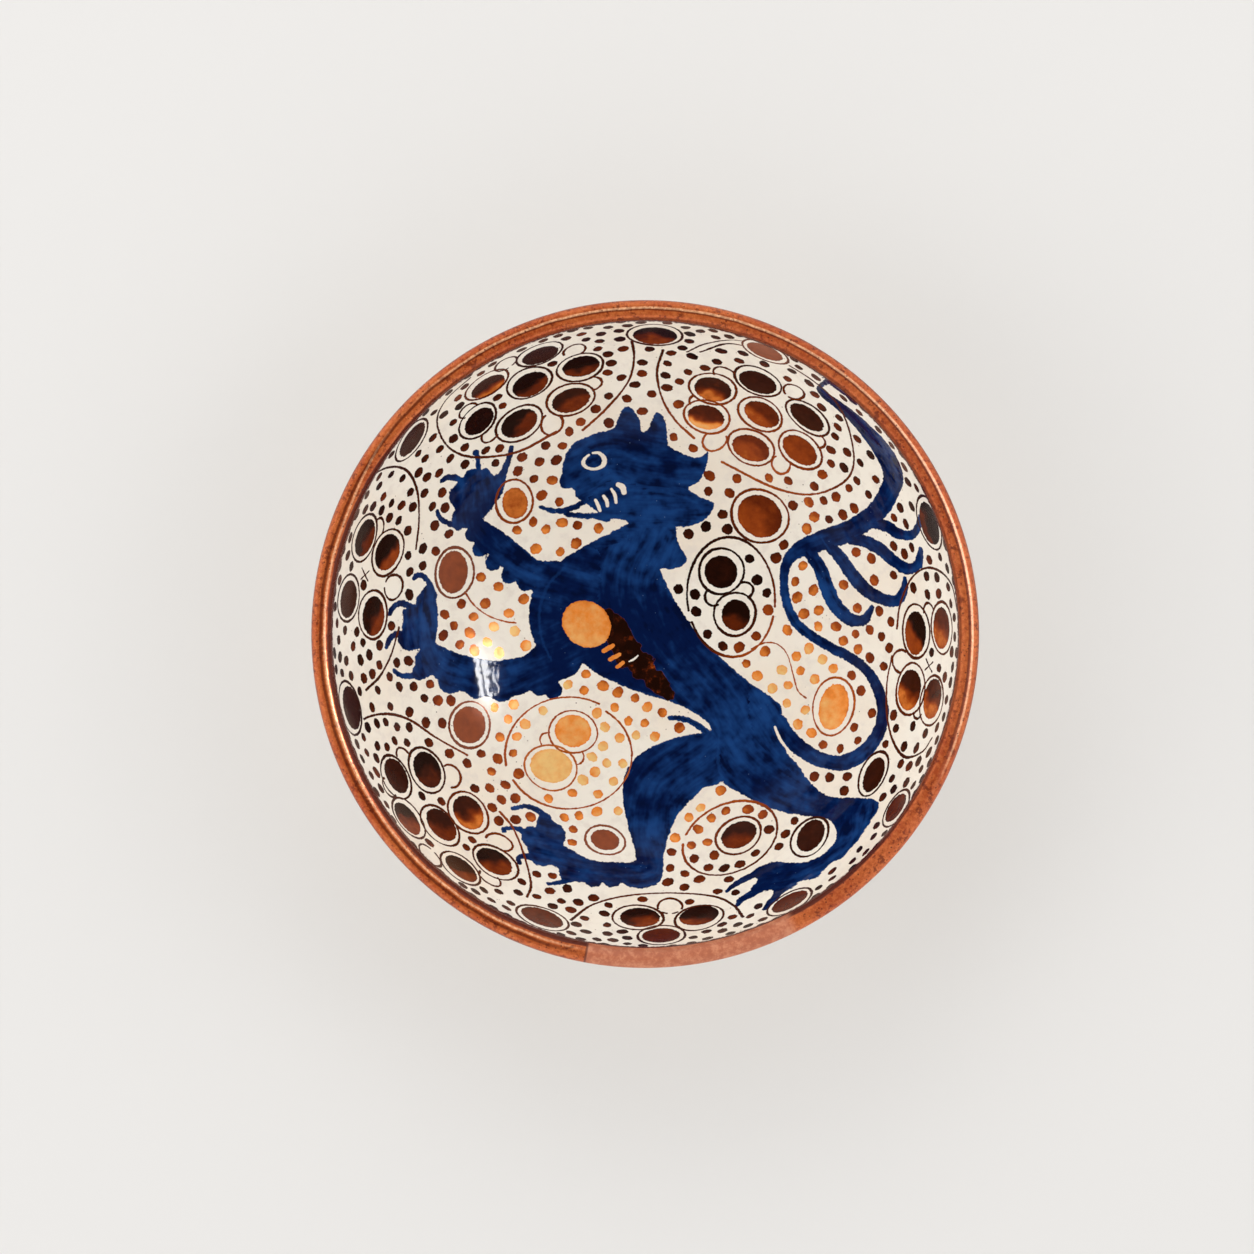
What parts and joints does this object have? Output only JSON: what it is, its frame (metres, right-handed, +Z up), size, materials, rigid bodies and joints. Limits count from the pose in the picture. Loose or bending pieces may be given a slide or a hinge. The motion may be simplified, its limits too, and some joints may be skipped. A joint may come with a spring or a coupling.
{
  "type": "footed bowl",
  "caption": "Deep round earthenware bowl with a rolled lip, a foot ring and a painted, glazed inside.",
  "frame": {"origin": "centre of the foot ring's underside, on the plane that the bowl stands on", "axes": "+Z up the bowl's axis, out of its mouth; +Y towards the top of the painted picture; +X to the picture's right"},
  "size_m": [0.33, 0.33, 0.121],
  "materials": {
    "tin_glaze": "cream tin glaze, painted in blue and in copper lustre; the lip is lustred all round"
  },
  "bodies": {
    "root": {"bowl": "tin_glaze"}
  },
  "joints": []
}
